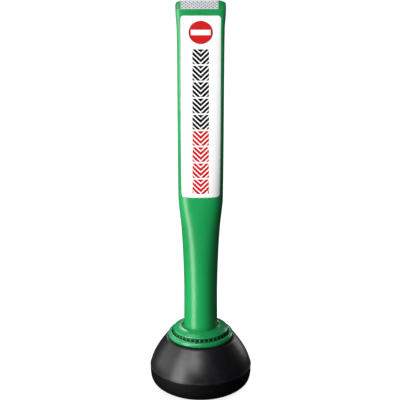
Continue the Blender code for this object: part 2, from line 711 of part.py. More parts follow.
def make_base_trim():
    low, high = FOOT_RING_R[0] + GAP, FOOT_RING_R[1] - GAP
    top = TRAY_BOTTOM_Z + FOOT_SEAT_DEPTH - GAP
    lathe("foot_ring", ((low, FOOT_CHAMFER), (low + FOOT_CHAMFER, 0.0), (high - FOOT_CHAMFER, 0.0),
                        (high, FOOT_CHAMFER), (high, top), (low, top)), "rubber")
    flat_rings = (
        ("ring_seal", SEAL_R, COVER_TOP_Z + GAP, RING_SEAT_Z - GAP),
        ("seat_pad", SEAT_PAD_R, TRAY_PAD_Z + GAP, TUBE_BOTTOM_Z - GAP),
    )
    for name, (bore, rim), bottom, top in flat_rings:
        lathe(name, ((bore, bottom), (rim, bottom), (rim, top), (bore, top)), "rubber")
    box("guide_key", (-KEY_HALF_WIDTH, KEY_R[0], KEY_Z[0]), (KEY_HALF_WIDTH, KEY_R[1], KEY_Z[1]), "steel")
    dot = ((DOT_R, 150.3), (DOT_R, 152.0), (DOT_R - 0.4, 152.3))
    pin("index_dot", dot, "mark_black", polar(DOT_CIRCLE_R, MARK_AZIMUTH))
    arc_block("detent_spring", DETENT_R, DETENT_AZIMUTHS, lambda a: DETENT_Z[0], lambda a: DETENT_Z[1], "steel")


# ---------------------------------------------------------------- assembly

def axis_empty(name, parent=None):
    """Empty on the joint's axis, the vertical line through the origin."""
    empty = bpy.data.objects.new(name, None)
    bpy.context.scene.collection.objects.link(empty)
    empty.parent = parent
    return empty


def main():
    clear_scene()
    post_axis = axis_empty("post_lift_axis")
    collar_axis = axis_empty("collar_turn_axis", post_axis)

    shell = make_post_shell(post_axis)
    cut_post_shell(shell)
    make_labels(post_axis)
    make_reflective_tapes(post_axis)
    make_thrust_ring(post_axis)

    make_lock_collar(collar_axis)
    make_ratchet_ring(collar_axis)
    make_index_arrow(collar_axis)
    make_glide_washer(collar_axis)

    make_base_ring()
    make_base_cover()
    make_base_tray()
    make_ballast_ring()
    make_socket_sleeve()
    make_base_fasteners()
    make_base_trim()


main()
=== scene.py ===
"""Looks of the delineator post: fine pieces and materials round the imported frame, and its studio.

Shapes are worked out in millimetres and multiplied by MM where a mesh is made. The origin is the middle
of the footprint on the floor, +Z is up and the front label faces -Y.
"""

import json
import math
from functools import lru_cache

import bmesh
import bpy
import numpy as np
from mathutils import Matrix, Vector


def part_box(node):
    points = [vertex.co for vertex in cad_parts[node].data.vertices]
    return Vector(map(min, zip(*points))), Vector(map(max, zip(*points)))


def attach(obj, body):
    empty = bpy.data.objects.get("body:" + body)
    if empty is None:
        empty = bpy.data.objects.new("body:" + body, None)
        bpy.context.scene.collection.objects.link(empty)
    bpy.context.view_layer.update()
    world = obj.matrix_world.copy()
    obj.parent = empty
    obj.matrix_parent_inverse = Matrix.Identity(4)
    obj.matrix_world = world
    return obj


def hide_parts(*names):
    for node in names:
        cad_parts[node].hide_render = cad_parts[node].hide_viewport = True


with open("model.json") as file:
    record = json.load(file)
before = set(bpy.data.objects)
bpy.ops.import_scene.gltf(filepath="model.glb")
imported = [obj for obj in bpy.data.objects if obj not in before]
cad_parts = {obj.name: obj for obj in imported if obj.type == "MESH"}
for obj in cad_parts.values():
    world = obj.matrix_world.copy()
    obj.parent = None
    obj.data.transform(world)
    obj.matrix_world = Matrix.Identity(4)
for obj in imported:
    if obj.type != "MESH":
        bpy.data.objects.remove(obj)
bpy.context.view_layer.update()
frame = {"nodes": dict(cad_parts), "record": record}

MM = 0.001
SEGMENTS = 168                 # facets round a turned piece
QUARTER = 38                   # facets in a quarter of a post section

# Post: half width, half depth and squareness (superellipse exponent) at each height
POST_SECTIONS = np.array((
    (200.0, 42.8, 42.8, 2.0),
    (275.0, 42.6, 42.5, 2.0),
    (340.0, 44.1, 42.3, 2.05),
    (405.0, 46.8, 42.0, 2.15),
    (450.0, 49.8, 41.4, 2.35),
    (500.0, 55.0, 40.0, 2.7),
    (520.0, 56.7, 39.2, 2.9),
    (545.0, 57.1, 38.3, 3.1),
    (650.0, 57.9, 34.2, 4.3),
    (800.0, 58.6, 31.0, 5.4),
    (900.0, 59.1, 29.3, 6.0),
    (950.0, 59.6, 29.0, 6.2),
    (992.0, 60.6, 29.0, 6.4),
    (1012.0, 62.2, 29.0, 6.6),
    (1036.0, 63.3, 29.0, 6.8),
))
ROOF_EDGE_Z = 1036.0
RIDGE_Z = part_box("post_shell")[1].z / MM
ROOF_CORNER = 13.5             # how far the ridge's ends are rounded in
ROOF_CORNER_CURVE = 2.5        # power of the height up the roof that the rounding follows
RIDGE_HALF_DEPTH = 1.2
POST_WALL = 3.0
POST_ROW = 6.0                 # height of a row of facets
TUBE_R = 43.0
TUBE_BOTTOM_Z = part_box("post_shell")[0].z / MM
TUBE_BEAD = (44.7, 166.9, 168.0)   # radius, bottom and top of the small bead above the collar
HEAD_CAVITY_TOP_Z = 1031.0
PARTING_RIDGE = 0.14           # moulding line up both sides
FACE_SHARE = 0.97              # share of the half width over which a sheet can be laid

# Labels and what is printed on them
LABEL_HALF_WIDTH = 50.0
LABEL_Z = tuple(corner.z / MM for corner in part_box("label_front"))
LABEL_CORNER = 8.0
LABEL_THICKNESS = 0.5
RECESS_DEPTH = 0.8
RECESS_MARGIN = 0.5
INK = 0.03                     # thickness of a printed layer
DISC_Z = 976.5
DISC_R = 30.2
DISC_RIM = 1.9
DISC_BAR = (48.8, 14.0)
BLOCK_COUNT = 9
BLACK_BLOCKS = 5
BLOCK_TOP_Z = 932.7
BLOCK_PITCH = 43.0
BLOCK_SIZE = (41.3, 38.8)
STROKE_PITCH = 12.9
STROKE_SHARE = 0.66            # how much of its pitch a chevron stroke fills

# Reflective tape
TAPE_HALF_WIDTH = 46.5
TAPE_SHIFT = -3.0              # stuck on a little off centre
TAPE_SPAN = (0.06, 0.96)       # along the slope, from the roof's edge to the ridge
TAPE_LIFT = (0.3, 0.7)         # bottom and top of the sheet above the roof
TAPE_CELL = 9.7                # diagonal of a sealed cell
TAPE_SEAM = 1.35

# Base
BASE_OUTLINE = (
    (102.0, 0.0),
    (117.3, 10.0),
    (126.0, 20.0),
    (130.0, 33.0),
    (131.0, 48.0),
    (129.7, 64.0),
    (123.0, 85.0),
    (109.6, 110.0),
    (89.5, 139.0),
)
TRAY_BOTTOM_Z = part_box("base_tray")[0].z / MM
TRAY_TOP_Z = 55.7
COVER_BOTTOM_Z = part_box("base_cover")[0].z / MM
COVER_HEM_Z = 60.6
COVER_TOP_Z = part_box("base_cover")[1].z / MM
HEM_PROUD = 0.8
SHELL_WALL = 3.5
COVER_MOUTH_R = 77.6
TRAY_FLOOR_Z = 6.5
TRAY_PAD_R = 62.5              # thick middle of the tray, under the socket
TRAY_PAD_Z = 9.2
DRAIN_R = 12.0
FOOT_RING_R = (84.0, 98.0)
FOOT_SEAT_DEPTH = 2.5
FOOT_TREADS = 4
SEAL_OUTLINE = ((78.4, 138.5, 0.3), (84.6, 138.5, 0.35), (84.6, 139.3, 0.35), (78.4, 139.3, 0.3))

# Holes
BOLT_BORE_R = 2.8
BOLT_SEAT_R = 5.6
BOLT_SEAT_Z = 3.6
BOLT_CIRCLE_R = 73.0
SCREW_BORE_R = 2.3
SLEEVE_SCREW_CIRCLE_R = 56.0
THRUST_SCREW_Z = 156.0
KEYWAY = ((-3.6, 37.0, 10.0), (3.6, 47.0, 104.0))

# Lock
LUG_COUNT = 3
CAM_TURN = 60.0
CAM_LIFT = 12.0
LUG_Z = 136.0
LUG_R = 73.0
LUG_HALF_ANGLE = 5.5
LUG_HALF_HEIGHT = 3.0
GROOVE_PLAY = 0.6
GROOVE_PLAY_ANGLE = 1.0
GROOVE_R = 74.2
MOUTH_R = 73.9                 # of the way out at the top of each groove
RING_BORE_R = 69.0
SKIRT_R = 67.5
TOOTH_COUNT = 36
TOOTH_R = (68.8, 70.3)
TOOTH_Z = (149.6, 157.5)
TOOTH_FACETS = 14
TOOTH_SHAPE = (0.56, 0.66, 0.88, 0.98)   # shares of the pitch where a tooth rises and falls
TOOTH_PAINTED_SHADE_DEPTH = 0.5              # how far below a tooth's crest the painted shade on the root begins
MARK_AZIMUTH = -97.5
ARROW_Z = (150.4, 156.8)
ARROW_HALF_WIDTH = 3.2
DOT_CIRCLE_R = 80.2

GREEN = (0.0105, 0.335, 0.088)
GREEN_DEEP = (0.0075, 0.265, 0.066)
GREEN_PALE = (0.20, 0.52, 0.30)
BLACK = (0.0060, 0.0055, 0.0070)
DUST = (0.22, 0.21, 0.19)


# ------------------------------ outlines

def polar(radius, azimuth, z):
    angle = math.radians(azimuth)
    return (radius * math.cos(angle), radius * math.sin(angle), z)


def spaced(count, start=0.0):
    return [start + 360.0 * i / count for i in range(count)]


def smooth_curve(knots, per_span):
    """Catmull-Rom curve through 2-D knots."""
    points = [np.array(k, float) for k in knots]
    ends = [2 * points[0] - points[1], *points, 2 * points[-1] - points[-2]]
    curve = []
    for i in range(1, len(ends) - 2):
        a, b, c, d = ends[i - 1:i + 3]
        for step in range(per_span):
            t = step / per_span
            curve.append(0.5 * (2 * b + (c - a) * t + (2 * a - 5 * b + 4 * c - d) * t ** 2
                                + (3 * b - a - 3 * c + d) * t ** 3))
    curve.append(points[-1])
    return [(float(u), float(v)) for u, v in curve]


def rounded(corners, steps=6):
    """Closed outline from (u, v) or (u, v, radius) corners, with the latter turned into arcs."""
    outline = []
    for i, corner in enumerate(corners):
        point = np.array(corner[:2], float)
        if len(corner) == 2:
            outline.append(tuple(point))
            continue
        back = np.array(corners[i - 1][:2], float) - point
        ahead = np.array(corners[(i + 1) % len(corners)][:2], float) - point
        back_length, ahead_length = np.linalg.norm(back), np.linalg.norm(ahead)
        back, ahead = back / back_length, ahead / ahead_length
        half = math.acos(np.clip(back @ ahead, -1.0, 1.0)) / 2
        cut = min(corner[2] / math.tan(half), 0.49 * back_length, 0.49 * ahead_length)
        middle = (back + ahead) / np.linalg.norm(back + ahead)
        centre = point + middle * cut / math.cos(half)
        first, last = point + back * cut - centre, point + ahead * cut - centre
        start = math.atan2(first[1], first[0])
        sweep = (math.atan2(last[1], last[0]) - start + math.pi) % (2 * math.pi) - math.pi
        radius = np.linalg.norm(first)
        for step in range(steps + 1):
            angle = start + sweep * step / steps
            outline.append((centre[0] + radius * math.cos(angle), centre[1] + radius * math.sin(angle)))
    return [(float(u), float(v)) for u, v in outline]


def rectangle(width, height, radius, middle_z):
    half = width / 2
    low, high = middle_z - height / 2, middle_z + height / 2
    return rounded([(-half, low, radius), (half, low, radius), (half, high, radius), (-half, high, radius)])


@lru_cache(maxsize=None)
def base_curve():
    return np.array(smooth_curve(BASE_OUTLINE, 12))


def base_radius(z):
    curve = base_curve()
    return float(np.interp(z, curve[:, 1], curve[:, 0]))


def base_wall(heights, inset=0.0):
    """Points of the base's outline, moved inwards along its normal."""
    points = []
    for z in heights:
        slope = base_radius(z + 0.5) - base_radius(z - 0.5)
        length = math.hypot(1.0, slope)
        points.append((base_radius(z) - inset / length, z + inset * slope / length))
    return points


# ------------------------------ meshes

def bridge(bm, lower, upper):
    count = len(lower)
    for i in range(count):
        j = (i + 1) % count
        bm.faces.new((lower[i], lower[j], upper[j], upper[i]))


def edge_wear(mesh):
    """Store how sharply each vertex stands out, which the materials wear away."""
    bm = bmesh.new()
    bm.from_mesh(mesh)
    wear = np.zeros(len(bm.verts))
    for edge in bm.edges:
        if len(edge.link_faces) == 2:
            turn = math.degrees(edge.calc_face_angle_signed(0.0))
            for vertex in edge.verts:
                wear[vertex.index] = max(wear[vertex.index], turn / 20.0)
    bm.free()
    attribute = mesh.attributes.new("edge_wear", "FLOAT", "POINT")
    attribute.data.foreach_set("value", np.clip(wear - 0.25, 0.0, 1.0).astype(np.float32))


def new_object(bm, name, sharp_angle=28.0):
    """Object in metres from a bmesh in millimetres."""
    bmesh.ops.scale(bm, vec=(MM, MM, MM), verts=bm.verts)
    bmesh.ops.recalc_face_normals(bm, faces=bm.faces)
    if bm.calc_volume(signed=True) < 0:
        bmesh.ops.reverse_faces(bm, faces=bm.faces)
    mesh = bpy.data.meshes.new(name)
    bm.to_mesh(mesh)
    bm.free()
    mesh.shade_smooth()
    mesh.set_sharp_from_angle(angle=math.radians(sharp_angle))
    made = bpy.data.objects.new(name, mesh)
    bpy.context.scene.collection.objects.link(made)
    return made


def apply_cuts(target, cuts, sharp_angle=28.0):
    """Carry out Boolean (operation, tool) pairs for good and remove the tools."""
    for operation, tool in cuts:
        modifier = target.modifiers.new(tool.name, "BOOLEAN")
        modifier.operation = operation
        modifier.object = tool
    bpy.context.view_layer.update()
    evaluated = target.evaluated_get(bpy.context.evaluated_depsgraph_get())
    mesh = bpy.data.meshes.new_from_object(evaluated)
    target.modifiers.clear()
    target.data = mesh
    mesh.shade_smooth()
    mesh.set_sharp_from_angle(angle=math.radians(sharp_angle))
    for _, tool in cuts:
        bpy.data.objects.remove(tool, do_unlink=True)
    return target


def place(piece, finishes, body, slot, *nodes):
    """Give a piece its materials, its body and the CAD nodes that it stands for; the slot argument is not
    used.
    """
    for finish in finishes:
        piece.data.materials.append(finish)
    edge_wear(piece.data)
    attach(piece, body)
    if nodes:
        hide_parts(*nodes)
    return piece


def turned(name, outline, segments=SEGMENTS):
    """Ring-shaped piece turned from a closed (radius, height) outline."""
    bm = bmesh.new()
    rings = []
    for radius, z in outline:
        rings.append([bm.verts.new(polar(radius, azimuth, z)) for azimuth in spaced(segments)])
    for lower, upper in zip(rings, rings[1:] + rings[:1]):
        bridge(bm, lower, upper)
    return new_object(bm, name)


def pin(name, steps, at=(0.0, 0.0, 0.0), azimuth=None, segments=32):
    """Solid round pin from (radius, height) steps, upright or pointing outwards along an azimuth."""
    bm = bmesh.new()
    rings = []
    for radius, z in steps:
        rings.append([bm.verts.new(polar(radius, turn, z)) for turn in spaced(segments)])
    for lower, upper in zip(rings, rings[1:]):
        bridge(bm, lower, upper)
    bm.faces.new(rings[0])
    bm.faces.new(rings[-1])
    made = new_object(bm, name)
    if azimuth is not None:
        made.rotation_euler = (0.0, math.radians(90), math.radians(azimuth))
    made.location = [value * MM for value in at]
    return made


def arc_block(name, radii, azimuths, z_low, z_high, steps=24):
    """Block bent round the axis; z_low and z_high are functions of azimuth in degrees."""
    bm = bmesh.new()
    rings = []
    for azimuth in np.linspace(*azimuths, steps + 1):
        low, high = z_low(azimuth), z_high(azimuth)
        corners = ((radii[0], low), (radii[1], low), (radii[1], high), (radii[0], high))
        rings.append([bm.verts.new(polar(r, azimuth, z)) for r, z in corners])
    for lower, upper in zip(rings, rings[1:]):
        bridge(bm, lower, upper)
    bm.faces.new(rings[0])
    bm.faces.new(rings[-1])
    return new_object(bm, name)


# ------------------------------ post

@lru_cache(maxsize=None)
def post_section(z):
    """Half width, half depth and exponent at a height, smoothly blended between the stations."""
    heights = POST_SECTIONS[:, 0]
    z = min(max(z, heights[0]), heights[-1])
    i = min(int(np.searchsorted(heights, z, side="right")) - 1, len(heights) - 2)
    slopes = np.gradient(POST_SECTIONS[:, 1:], heights, axis=0)
    slopes[0] = 0.0
    span = heights[i + 1] - heights[i]
    t = (z - heights[i]) / span
    start = (1 + 2 * t) * (1 - t) ** 2
    end = t * t * (3 - 2 * t)
    leave = t * (1 - t) ** 2 * span
    arrive = t * t * (t - 1) * span
    blended = (start * POST_SECTIONS[i, 1:] + end * POST_SECTIONS[i + 1, 1:]
               + leave * slopes[i] + arrive * slopes[i + 1])
    return tuple(float(value) for value in blended)


def quarter_points(half_width, half_depth, exponent):
    """A quarter of a superellipse from +X to +Y, its points spaced by both length and turn."""
    share = np.linspace(0.0, 1.0, 900)
    power = exponent / 2
    angle = math.pi / 2 * share ** power / (share ** power + (1 - share) ** power)
    x = half_width * np.cos(angle).clip(0.0) ** (2 / exponent)
    y = half_depth * np.sin(angle) ** (2 / exponent)
    length = np.concatenate(([0.0], np.cumsum(np.hypot(np.diff(x), np.diff(y)))))
    heading = np.unwrap(np.arctan2(np.gradient(y), np.gradient(x)))
    turn = np.maximum.accumulate(heading - heading[0])
    measure = length / length[-1] + turn / max(turn[-1], 1e-6)
    near_ridge = np.interp((min(0.35, half_depth / 12), min(0.8, half_depth / 6)), y, measure)
    wanted = np.concatenate(([0.0], near_ridge, np.linspace(near_ridge[-1], 2.0, QUARTER - 1)[1:]))
    x, y = np.interp(wanted, measure, x), np.interp(wanted, measure, y)
    x = x + PARTING_RIDGE * np.exp(-(y / 0.35) ** 2)
    return list(zip(x.tolist(), y.tolist()))


def section_ring(bm, half_width, half_depth, exponent, z):
    quarter = quarter_points(half_width, half_depth, exponent)
    half = quarter + [(-x, y) for x, y in reversed(quarter[:-1])]
    whole = half + [(x, -y) for x, y in reversed(half[1:-1])]
    return [bm.verts.new((x, y, z)) for x, y in whole]


def cap_across(bm, ring):
    """Close a ring with strips between its front and back halves."""
    count = len(ring)
    for i in range(count // 2):
        quad = (ring[i], ring[i + 1], ring[(count - i - 1) % count], ring[(count - i) % count])
        bm.faces.new(list(dict.fromkeys(quad)))


def roof_profile():
    """(half depth, height) up the side of the head, over the roof's edge and to its ridge."""
    half_depth = POST_SECTIONS[-1][2]
    corners = [(half_depth, ROOF_EDGE_Z - 20), (half_depth, ROOF_EDGE_Z, 2.4),
               (RIDGE_HALF_DEPTH, RIDGE_Z, 4.0), (0.0, RIDGE_Z)]
    profile = rounded(corners, steps=7)
    return profile[1:-1]


def roof_rings(bm):
    edge_width, half_depth, exponent = post_section(ROOF_EDGE_Z)
    profile = roof_profile()
    slope_low, slope_high = profile[7], profile[8]
    slope = [tuple(np.add(slope_low, np.multiply(t, np.subtract(slope_high, slope_low))))
             for t in np.linspace(0.0, 1.0, 12)[1:-1]]
    rings = []
    for depth, z in profile[:8] + slope + profile[8:]:
        share = max(0.0, min(1.0, (z - ROOF_EDGE_Z + 2) / (RIDGE_Z - ROOF_EDGE_Z + 2)))
        corner = ROOF_CORNER * share ** ROOF_CORNER_CURVE
        rings.append(section_ring(bm, post_section(z)[0] - corner, depth, exponent, z))
    return rings


def tube_foot_rings(bm):
    radius, low, high = TUBE_BEAD
    bead = [(TUBE_R, low - 0.5), (radius - 0.4, low - 0.1), (radius, low + 0.2), (radius, high - 0.2),
            (radius - 0.4, high + 0.1), (TUBE_R, high + 0.6)]
    foot = [(TUBE_R - POST_WALL, TUBE_BOTTOM_Z), (TUBE_R - 1.0, TUBE_BOTTOM_Z), (TUBE_R, TUBE_BOTTOM_Z + 1.0)]
    return [section_ring(bm, r, r, 2.0, z) for r, z in foot + bead + [(TUBE_R, 172.0)]]


def make_post_shell():
    bm = bmesh.new()
    inner = []
    for z in (HEAD_CAVITY_TOP_Z, 1000, 940, 860, 760, 660, 600, 560, 530, 500, 450, 400, 330, 200):
        width, depth, exponent = post_section(z)
        inner.append(section_ring(bm, width - POST_WALL, depth - POST_WALL, exponent, z))
    outer = tube_foot_rings(bm)
    rows = int((ROOF_EDGE_Z - 20 - 180) / POST_ROW)
    for z in np.linspace(180.0, ROOF_EDGE_Z - 8, rows):
        outer.append(section_ring(bm, *post_section(float(z)), float(z)))
    outer += roof_rings(bm)
    rings = inner + outer
    for lower, upper in zip(rings, rings[1:]):
        bridge(bm, lower, upper)
    cap_across(bm, rings[0])
    cap_across(bm, rings[-1])
    shell = new_object(bm, "post_body", sharp_angle=14.0)
    cuts = [("DIFFERENCE", recess_cutter(facing)) for facing in (-1, 1)]
    for azimuth in spaced(3, 30):
        ends = (TUBE_R - 7.0, TUBE_R + 5.0)
        hole = pin(f"screw_hole_{azimuth:g}", [(SCREW_BORE_R, end) for end in ends], (0, 0, THRUST_SCREW_Z),
                   azimuth)
        cuts.append(("DIFFERENCE", hole))
    cuts.append(("DIFFERENCE", block("keyway", *KEYWAY)))
    return apply_cuts(shell, cuts, sharp_angle=14.0)


def block(name, low, high):
    bm = bmesh.new()
    rings = []
    for z in (low[2], high[2]):
        corners = ((low[0], low[1]), (high[0], low[1]), (high[0], high[1]), (low[0], high[1]))
        rings.append([bm.verts.new((x, y, z)) for x, y in corners])
    bridge(bm, *rings)
    bm.faces.new(rings[0])
    bm.faces.new(rings[1])
    return new_object(bm, name)


# ------------------------------ sheets wrapped on the head

@lru_cache(maxsize=None)
def face_table(z):
    """Across the face at a height: distances along it, places across, depths and normals."""
    half_width, half_depth, exponent = post_section(z)
    x = np.linspace(0.0, half_width * FACE_SHARE, 120)
    share = x / half_width
    depth = half_depth * (1 - share ** exponent) ** (1 / exponent)
    steep = (half_depth / half_width) * share ** (exponent - 1)
    steep = steep * (1 - share ** exponent) ** (1 / exponent - 1)
    along = np.concatenate(([0.0], np.cumsum(np.hypot(np.diff(x), np.diff(depth)))))
    length = np.hypot(steep, 1.0)
    return along, x, depth, steep / length, 1.0 / length


def wrap(bm, facing):
    """Move flat (along, offset, z) vertices onto the front (-1) or back (+1) face of the head."""
    for vertex in bm.verts:
        along, offset, z = vertex.co
        table = face_table(round(z, 2))
        x, depth, nx, ny = (float(np.interp(abs(along), table[0], column)) for column in table[1:])
        side = -facing * math.copysign(1.0, along)
        vertex.co = (side * (x + offset * nx), facing * (depth + offset * ny), z)


def flat_sheet(outlines, strip=3.0, row=9.0):
    """Flat faces in the x-z plane from outlines, cut into a grid fine enough to bend."""
    bm = bmesh.new()
    for outline in outlines:
        bm.faces.new([bm.verts.new((x, 0.0, z)) for x, z in outline])
    lows = [min(v.co[axis] for v in bm.verts) for axis in (0, 2)]
    highs = [max(v.co[axis] for v in bm.verts) for axis in (0, 2)]
    for x in np.arange(math.floor(lows[0] / strip) * strip, highs[0], strip):
        cut_flat(bm, (x, 0, 0), (1, 0, 0))
    for z in np.arange(lows[1] + row, highs[1], row):
        cut_flat(bm, (0, 0, z), (0, 0, 1))
    return bm


def cut_flat(bm, point, normal):
    everything = [*bm.verts, *bm.edges, *bm.faces]
    bmesh.ops.bisect_plane(bm, geom=everything, dist=1e-5, plane_co=point, plane_no=normal)


def extrude(bm, faces):
    """Extrude faces and return the new ones and their vertices; the old ones stay."""
    grown = bmesh.ops.extrude_face_region(bm, geom=faces)["geom"]
    return ([item for item in grown if isinstance(item, bmesh.types.BMFace)],
            [item for item in grown if isinstance(item, bmesh.types.BMVert)])


def raise_sheet(bm, low, high):
    """Give a flat sheet its thickness, from one offset to the other."""
    for vertex in bm.verts:
        vertex.co.y = low
    for vertex in extrude(bm, list(bm.faces))[1]:
        vertex.co.y = high


def label_outline(margin):
    low, high = LABEL_Z
    return rectangle(2 * (LABEL_HALF_WIDTH + margin), high - low + 2 * margin, LABEL_CORNER + margin,
                     (low + high) / 2)


def recess_cutter(facing):
    """Cutter for a label's recess, flared at the top so that the recess has a soft lip."""
    bm = flat_sheet([label_outline(RECESS_MARGIN)], strip=4.0, row=12.0)
    for vertex in bm.verts:
        vertex.co.y = -RECESS_DEPTH
    layers = [list(bm.faces)]
    inner_x = LABEL_HALF_WIDTH - LABEL_CORNER
    inner_z = (LABEL_Z[0] + LABEL_CORNER, LABEL_Z[1] - LABEL_CORNER)
    for offset, flare in ((-0.42, 0.0), (-0.16, 0.1), (0.03, 0.42), (1.5, 0.5)):
        faces, vertices = extrude(bm, layers[-1])
        layers.append(faces)
        for vertex in vertices:
            x, _, z = vertex.co
            out_x = x - min(max(x, -inner_x), inner_x)
            out_z = z - min(max(z, inner_z[0]), inner_z[1])
            reach = math.hypot(out_x, out_z)
            if reach > LABEL_CORNER:
                x += flare * out_x / reach
                z += flare * out_z / reach
            vertex.co = (x, offset, z)
    bmesh.ops.delete(bm, geom=[face for layer in layers[1:-1] for face in layer], context="FACES")
    wrap(bm, facing)
    return new_object(bm, f"recess_{facing}")


def make_label(side, facing, finishes):
    bm = flat_sheet([label_outline(0.0)])
    raise_sheet(bm, -LABEL_THICKNESS, 0.0)
    wrap(bm, facing)
    sheet = new_object(bm, f"label_{side}_sheet")
    place(sheet, [finishes["vinyl"]], "post", "label_white", f"label_{side}")
    for name, outlines, level, finish, slot in printed_layers():
        bm = flat_sheet(outlines)
        if name.startswith("chevrons"):
            cut_chevrons(bm)
        raise_sheet(bm, level * INK + 0.01, (level + 1) * INK)
        wrap(bm, facing)
        piece = new_object(bm, f"print_{name}_{side}")
        place(piece, [finishes[finish]], "post", slot)


def circle(radius, middle_z, count=72):
    return [(x, z + middle_z) for x, z, _ in (polar(radius, a, 0.0) for a in spaced(count))]


def block_outlines(first, last):
    width, height = BLOCK_SIZE
    return [rectangle(width, height, 3.0, BLOCK_TOP_Z - height / 2 - BLOCK_PITCH * i)
            for i in range(first, last)]


def printed_layers():
    """Each printed layer's name, outlines, place in the stack, finish and slot."""
    width, height = DISC_BAR
    return (
        ("disc_rim", [circle(DISC_R, DISC_Z)], 0, "ink_dark_red", "print_red"),
        ("disc", [circle(DISC_R - DISC_RIM, DISC_Z)], 1, "ink_red", "print_red"),
        ("disc_bar", [rectangle(width, height, 0.6, DISC_Z)], 2, "vinyl", "label_white"),
        ("chevrons_black", block_outlines(0, BLACK_BLOCKS), 0, "ink_black", "print_black"),
        ("chevrons_red", block_outlines(BLACK_BLOCKS, BLOCK_COUNT), 0, "ink_red", "print_red"),
    )


def cut_chevrons(bm):
    """Keep only chevron strokes, pointing down, out of each block."""
    gaps = []
    for i in range(BLOCK_COUNT):
        top = BLOCK_TOP_Z - BLOCK_PITCH * i
        for stroke in range(-3, 4):
            gaps.append(top - stroke * STROKE_PITCH)
    low, high = min(v.co.z for v in bm.verts), max(v.co.z for v in bm.verts)
    for gap in gaps:
        if low - BLOCK_PITCH < gap < high + BLOCK_PITCH:
            for level in (gap, gap - STROKE_PITCH * STROKE_SHARE):
                for side in (-1, 1):
                    halves = [f for f in bm.faces if f.calc_center_median().x * side > 0]
                    parts = {e for f in halves for e in f.edges} | {v for f in halves for v in f.verts}
                    bmesh.ops.bisect_plane(bm, geom=[*parts, *halves], dist=1e-5, plane_co=(0, 0, level),
                                           plane_no=(-side, 0, 1))
    waste = []
    for face in bm.faces:
        centre = face.calc_center_median()
        index = round((BLOCK_TOP_Z - BLOCK_SIZE[1] / 2 - centre.z) / BLOCK_PITCH)
        down = BLOCK_TOP_Z - BLOCK_PITCH * index - (centre.z - abs(centre.x))
        if (down / STROKE_PITCH) % 1.0 > STROKE_SHARE:
            waste.append(face)
    bmesh.ops.delete(bm, geom=waste, context="FACES")


# ------------------------------ reflective tape

def make_tape(side, facing, finishes):
    """Sheet of sealed diamond cells, with raised seams between them."""
    half_depth = POST_SECTIONS[-1][2]
    run, rise = half_depth - RIDGE_HALF_DEPTH, RIDGE_Z - ROOF_EDGE_Z
    length = math.hypot(run, rise)
    low, high = (length * share for share in TAPE_SPAN)
    bm = bmesh.new()
    outline = rectangle(2 * TAPE_HALF_WIDTH, high - low, 1.5, (low + high) / 2)
    bm.faces.new([bm.verts.new((x, 0.0, z)) for x, z in outline])
    reach = int((2 * TAPE_HALF_WIDTH + length) / TAPE_CELL) + 1
    for i in range(-reach, reach + 1):
        for lean in (-1, 1):
            cut_flat(bm, (i * TAPE_CELL, 0, (low + high) / 2), (1, 0, lean))
    raise_sheet(bm, TAPE_LIFT[0], TAPE_LIFT[1])
    tops = [f for f in bm.faces if all(v.co.y > TAPE_LIFT[1] - 1e-4 for v in f.verts)]
    before = set(bm.faces)
    bmesh.ops.inset_individual(bm, faces=tops, thickness=TAPE_SEAM, depth=0.0, use_even_offset=True)
    seams = set(bm.faces) - before
    for face in tops:
        face.material_index = 1
        for vertex in face.verts:
            vertex.co.y -= 0.12
    for face in seams:
        face.material_index = 0
    for vertex in bm.verts:
        x, offset, along = vertex.co
        depth = half_depth - run * along / length + offset * rise / length
        z = ROOF_EDGE_Z + rise * along / length + offset * run / length
        vertex.co = (x + TAPE_SHIFT * -facing, facing * depth, z)
    piece = new_object(bm, f"tape_{side}_sheet", sharp_angle=8.0)
    place(piece, [finishes["tape_seam"], finishes["tape_cell"]], "post", "reflective_tape",
          f"reflective_tape_{side}")


# ------------------------------ lock

def cam_height(azimuth, start):
    return LUG_Z + CAM_LIFT * (azimuth - start) / CAM_TURN


def make_lock_collar():
    crest = smooth_curve(((47.6, 167.6), (48.0, 169.2), (49.4, 170.3), (53.0, 170.3), (58.0, 169.1),
                          (63.5, 167.0), (68.0, 164.6), (70.4, 162.4), (71.0, 160.4), (70.3, 158.9),
                          (68.6, 158.1), (SKIRT_R, 158.0)), 5)
    under = rounded([(SKIRT_R, 158.0), (SKIRT_R, 127.0, 1.0), (58.5, 127.0, 1.0), (58.5, 159.0, 1.0),
                     (55.5, 163.0, 1.0), (43.9, 163.0), (43.9, 165.4), (47.2, 165.4)])
    collar = turned("lock_collar_body", crest + under[1:])
    cuts = []
    for start in spaced(LUG_COUNT):
        ends = (start - LUG_HALF_ANGLE, start + LUG_HALF_ANGLE)
        lug = arc_block(f"lug_{start:g}", (SKIRT_R - 3.0, LUG_R), ends,
                        lambda a: cam_height(a, start) - LUG_HALF_HEIGHT,
                        lambda a: cam_height(a, start) + LUG_HALF_HEIGHT, steps=8)
        cuts.append(("UNION", lug))
    return apply_cuts(collar, cuts)


